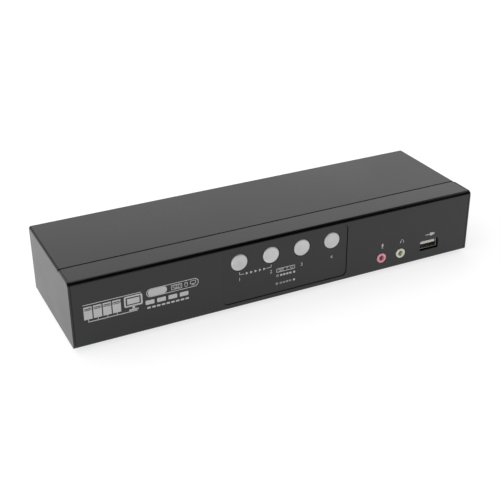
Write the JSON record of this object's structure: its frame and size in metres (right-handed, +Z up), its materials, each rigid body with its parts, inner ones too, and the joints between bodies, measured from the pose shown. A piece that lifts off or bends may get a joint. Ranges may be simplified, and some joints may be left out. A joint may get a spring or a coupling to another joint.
{
  "type": "kvm switch",
  "caption": "Low, wide desktop box that switches a monitor, keyboard and mouse between computers, with round front buttons and front audio and USB sockets.",
  "frame": {"origin": "centre of the footprint, on the plane that the feet stand on", "axes": "+X right as seen from the front, along the width; -Y is the front with the buttons; +Z up"},
  "size_m": [0.27, 0.081, 0.0449],
  "materials": {
    "case_coat": "satin black powder coat",
    "screw_black": "black zinc",
    "foot_rubber": "matte",
    "panel_plastic": "fine texture",
    "overlay_film": "satin film",
    "bright_steel": "zinc plated",
    "button_plastic": "satin light grey",
    "plunger_plastic": "moulded",
    "led_resin": "cast resin",
    "board_resist": "solder resist",
    "cable_grey": "satin",
    "header_plastic": "moulded",
    "brass_plate": "turned",
    "chip_resin": "moulded",
    "capacitor_sleeve": "shrink sleeve",
    "sink_aluminium": "extruded",
    "shell_plate": "nickel plated",
    "socket_black": "moulded",
    "socket_white": "moulded",
    "jack_pink": "moulded",
    "jack_cream": "moulded",
    "jack_green": "moulded"
  },
  "bodies": {
    "case": {"base_chassis": "case_coat", "top_cover": "case_coat", "rear_panel": "case_coat", "case_screws": "screw_black", "rubber_feet": "foot_rubber", "button_panel": "panel_plastic", "panel_overlay": "overlay_film", "panel_nuts": "bright_steel", "switch_bodies": "panel_plastic", "button_leds": "led_resin", "button_board": "board_resist", "button_board_screws": "bright_steel", "ribbon_cable": "cable_grey", "board_headers": "header_plastic", "main_board": "board_resist", "video_board": "board_resist", "board_standoffs": "brass_plate", "board_spacers": "brass_plate", "board_screws": "bright_steel", "logic_chips": "chip_resin", "capacitors": "capacitor_sleeve", "video_chip": "chip_resin", "heat_sink": "sink_aluminium", "hdmi_in_shell_1": "shell_plate", "hdmi_in_shell_2": "shell_plate", "hdmi_in_shell_3": "shell_plate", "hdmi_in_shell_4": "shell_plate", "hdmi_out_shell": "shell_plate", "hdmi_tongues": "socket_black", "usb_b_shell_1": "shell_plate", "usb_b_shell_2": "shell_plate", "usb_b_shell_3": "shell_plate", "usb_b_shell_4": "shell_plate", "usb_b_tongues": "header_plastic", "console_usb_shell": "shell_plate", "front_usb_shell": "shell_plate", "usb_a_tongues": "socket_white", "front_mic_jack": "jack_pink", "front_headphone_jack": "jack_cream", "console_mic_jack": "jack_pink", "console_speaker_jack": "jack_green", "mic_jack_1": "jack_pink", "mic_jack_2": "jack_pink", "mic_jack_3": "jack_pink", "mic_jack_4": "jack_pink", "speaker_jack_1": "jack_green", "speaker_jack_2": "jack_green", "speaker_jack_3": "jack_green", "speaker_jack_4": "jack_green", "power_jack": "socket_black", "power_pin": "shell_plate"},
    "button_1": {"button_cap_1": "button_plastic", "switch_plunger_1": "plunger_plastic"},
    "button_2": {"button_cap_2": "button_plastic", "switch_plunger_2": "plunger_plastic"},
    "button_3": {"button_cap_3": "button_plastic", "switch_plunger_3": "plunger_plastic"},
    "button_4": {"button_cap_4": "button_plastic", "switch_plunger_4": "plunger_plastic"}
  },
  "joints": [
    {"name": "button_1_press", "type": "slide", "parent": "case", "child": "button_1", "axis": [0, 1, 0], "range_m": [0, 0.0005], "stiffness_N_per_m": 1000},
    {"name": "button_2_press", "type": "slide", "parent": "case", "child": "button_2", "axis": [0, 1, 0], "range_m": [0, 0.0005], "stiffness_N_per_m": 1000},
    {"name": "button_3_press", "type": "slide", "parent": "case", "child": "button_3", "axis": [0, 1, 0], "range_m": [0, 0.0005], "stiffness_N_per_m": 1000},
    {"name": "button_4_press", "type": "slide", "parent": "case", "child": "button_4", "axis": [0, 1, 0], "range_m": [0, 0.0005], "stiffness_N_per_m": 1000}
  ]
}
